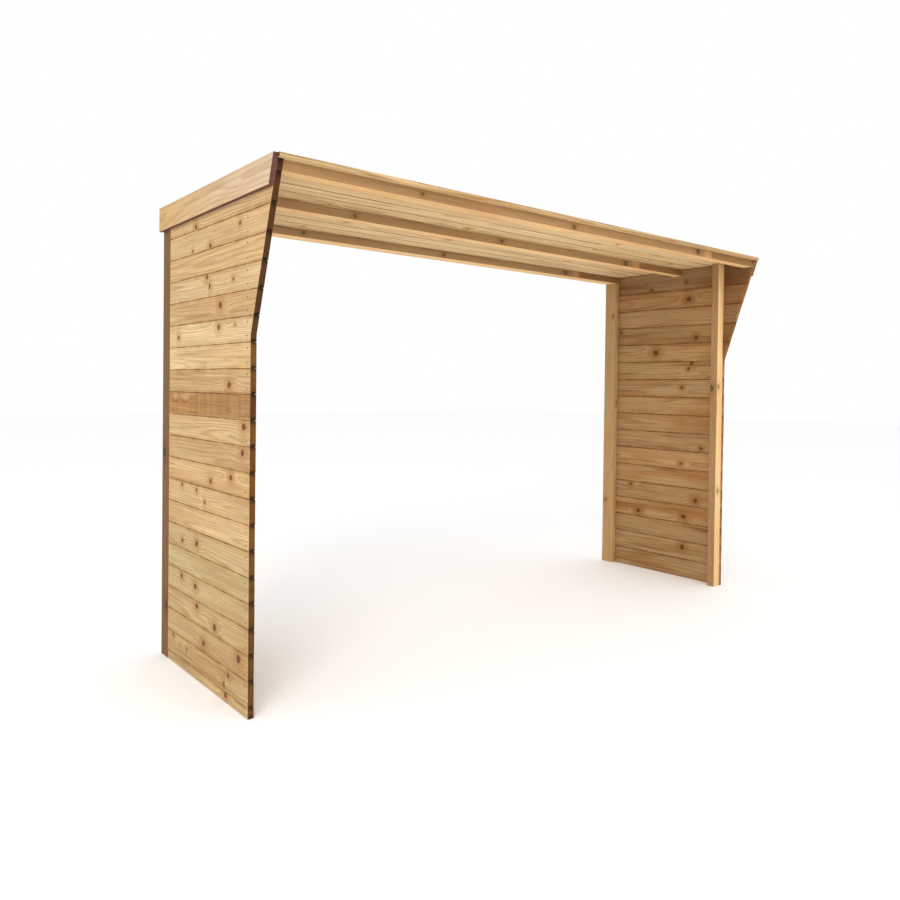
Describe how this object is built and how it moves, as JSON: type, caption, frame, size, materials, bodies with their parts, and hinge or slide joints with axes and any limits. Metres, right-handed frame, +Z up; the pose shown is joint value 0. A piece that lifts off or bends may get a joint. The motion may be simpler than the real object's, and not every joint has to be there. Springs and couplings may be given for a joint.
{
  "type": "log store",
  "caption": "Open timber log store with boarded side walls that slant out at the top front, posts, purlins and a flat roof of lengthwise boards.",
  "frame": {"origin": "on the ground, in the middle of the roof's length and depth", "axes": "+X along the store to the right as seen from its open front, +Y from the front to the back, +Z up"},
  "size_m": [2.428, 0.848, 1.53],
  "materials": {
    "wall_boards": "planed softwood boards, pressure treated, knotty, with fine joints",
    "posts": "planed softwood posts with a slight green tint",
    "purlins": "planed softwood battens, warm brown",
    "roof_boards": "planed softwood boards, pale and slightly grey",
    "barge_boards": "smooth planed softwood with soft grain"
  },
  "bodies": {
    "root": {"left_side_wall": "wall_boards", "right_side_wall": "wall_boards", "left_front_post": "posts", "right_front_post": "posts", "left_rear_post": "posts", "right_rear_post": "posts", "front_purlin": "purlins", "middle_purlin": "purlins", "rear_purlin": "purlins", "left_barge_board": "barge_boards", "right_barge_board": "barge_boards", "roof_board_1": "roof_boards", "roof_board_2": "roof_boards", "roof_board_3": "roof_boards", "roof_board_4": "roof_boards", "roof_board_5": "roof_boards", "roof_board_6": "roof_boards", "roof_board_7": "roof_boards", "roof_board_8": "roof_boards", "roof_board_9": "roof_boards", "roof_board_10": "roof_boards", "roof_board_11": "roof_boards"}
  },
  "joints": []
}
